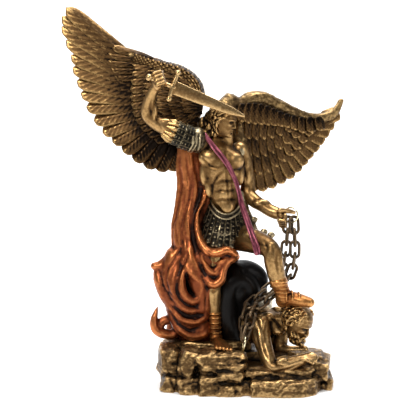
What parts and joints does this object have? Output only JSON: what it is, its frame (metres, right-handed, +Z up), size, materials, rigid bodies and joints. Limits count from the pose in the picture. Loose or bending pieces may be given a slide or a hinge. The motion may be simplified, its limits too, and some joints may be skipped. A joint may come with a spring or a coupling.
{
  "type": "winged warrior statue",
  "caption": "Table-top statue of a winged warrior with a raised sword, standing over a fallen bearded foe on a rock base, holding a loose metal chain that hangs from a ring in one fist",
  "frame": {"origin": "on the ground, at the middle of the rock base's underside as seen from the front", "axes": "+Z up from the underside to the raised wing's tip, +X to the viewer's right as seen from the front, -Y toward the viewer"},
  "size_m": [0.1762, 0.0708, 0.2305],
  "materials": {
    "cast_bronze": "cold-cast bronze with a brown patina and hand-painted red, purple and orange metallic tints",
    "chain_metal": "darkened steel wire, worn brighter on the outsides of the links",
    "ring_brass": "pale brass wire"
  },
  "bodies": {
    "root": {"statue": "cast_bronze", "hand_ring": "ring_brass", "side_ring": "ring_brass", "chain_front_link_01": "chain_metal", "chain_front_link_02": "chain_metal", "chain_front_link_03": "chain_metal", "chain_front_link_04": "chain_metal", "chain_front_link_05": "chain_metal", "chain_front_link_06": "chain_metal", "chain_front_link_07": "chain_metal", "chain_front_link_08": "chain_metal", "chain_front_link_09": "chain_metal", "chain_front_link_10": "chain_metal", "chain_front_link_11": "chain_metal", "chain_front_link_12": "chain_metal", "chain_back_link_01": "chain_metal", "chain_back_link_02": "chain_metal", "chain_back_link_03": "chain_metal", "chain_back_link_04": "chain_metal", "chain_back_link_05": "chain_metal", "chain_back_link_06": "chain_metal", "chain_back_link_07": "chain_metal", "chain_back_link_08": "chain_metal", "chain_back_link_09": "chain_metal", "chain_back_link_10": "chain_metal", "chain_back_link_11": "chain_metal", "chain_back_link_12": "chain_metal"}
  },
  "joints": []
}
